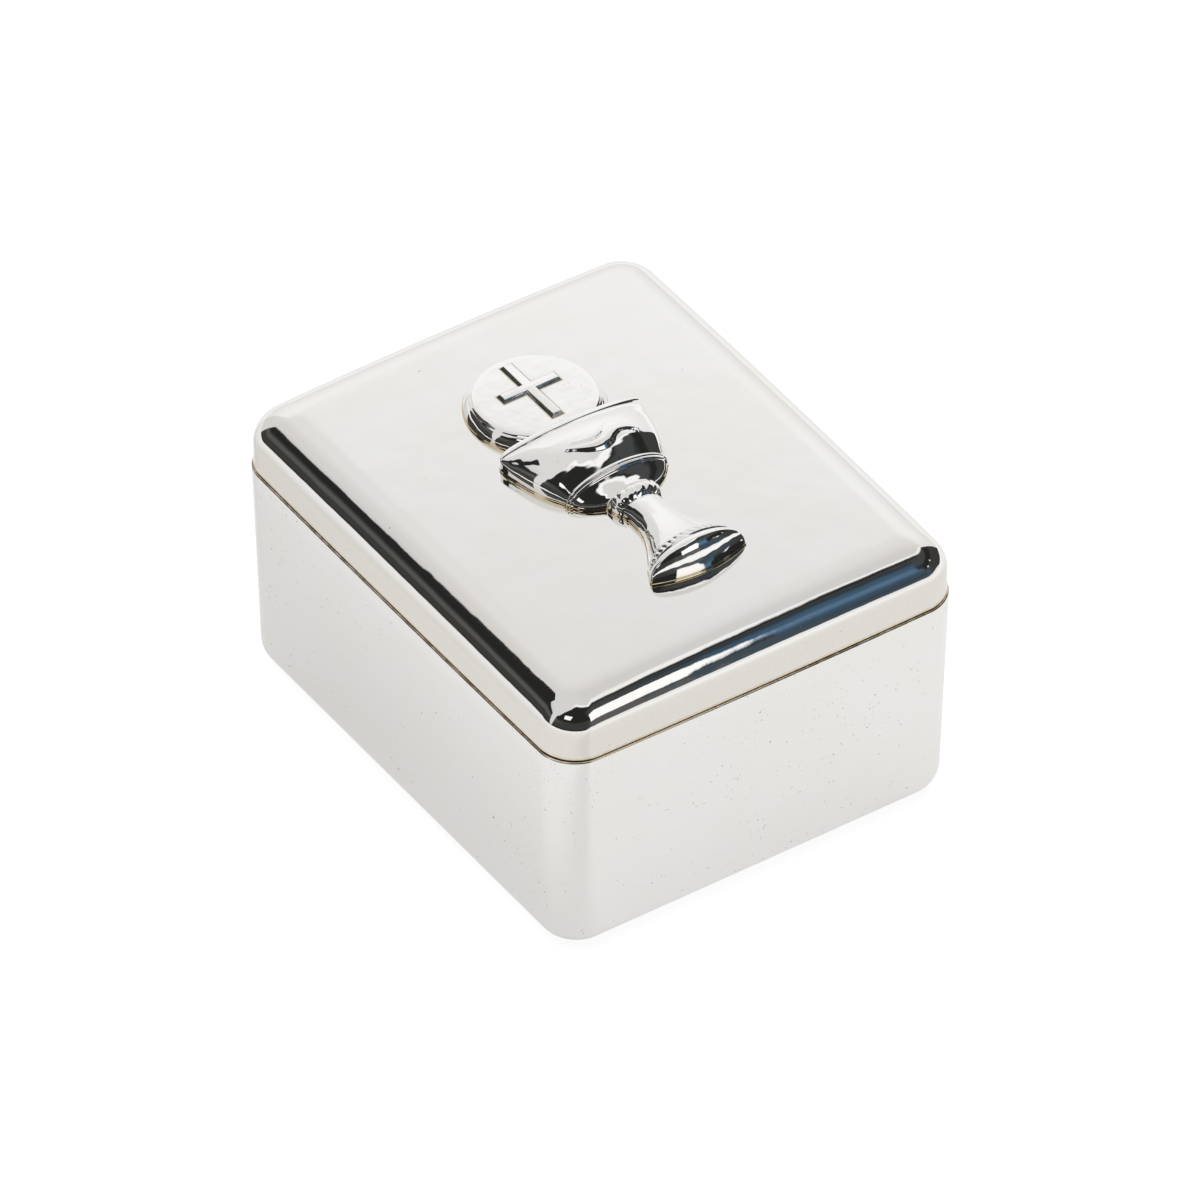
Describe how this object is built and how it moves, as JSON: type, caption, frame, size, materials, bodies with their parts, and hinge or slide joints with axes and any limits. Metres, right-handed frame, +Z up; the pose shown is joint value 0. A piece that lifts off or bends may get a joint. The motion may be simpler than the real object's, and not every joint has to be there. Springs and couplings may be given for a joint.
{
  "type": "keepsake box",
  "caption": "Small rectangular plated metal keepsake box with rounded edges, a hinged lid carrying a relief of a chalice and round host, and a velvet lining.",
  "frame": {"origin": "middle of the underside of the felt pad, on the surface that the box stands on", "axes": "+Z up, +Y towards the hinge at the back, +X to the right as seen from the front"},
  "size_m": [0.066, 0.0805, 0.0511],
  "materials": {
    "base_plate_metal": "polished silver plate, a few pits and fine scratches",
    "lid_plate_metal": "mirror-polished silver plate",
    "emblem_metal": "polished silver-plated casting",
    "hinge_steel": "plated steel",
    "screw_steel": "plated steel",
    "washer_steel": "plain spring steel",
    "felt": "pressed felt",
    "card": "grey board",
    "velvet": "short-pile velvet"
  },
  "bodies": {
    "base": {"base_shell": "base_plate_metal", "base_felt": "felt", "wall_card": "card", "wall_velvet": "velvet", "floor_card": "card", "floor_pad": "velvet", "hinge_base_leaf": "hinge_steel", "hinge_pin": "hinge_steel", "base_leaf_screw_left": "screw_steel", "base_leaf_screw_mid": "screw_steel", "base_leaf_screw_right": "screw_steel"},
    "lid": {"lid_shell": "lid_plate_metal", "lid_card": "card", "lid_pad": "velvet", "emblem_casting": "emblem_metal", "emblem_washer_upper": "washer_steel", "emblem_washer_lower": "washer_steel", "hinge_lid_leaf": "hinge_steel", "lid_leaf_screw_left": "screw_steel", "lid_leaf_screw_mid": "screw_steel", "lid_leaf_screw_right": "screw_steel"}
  },
  "joints": [
    {"name": "lid_hinge", "type": "hinge", "parent": "base", "child": "lid", "pos_m": [0, 0.0385, 0.03511], "axis": [-1, 0, 0], "range_deg": [0, 100]}
  ]
}
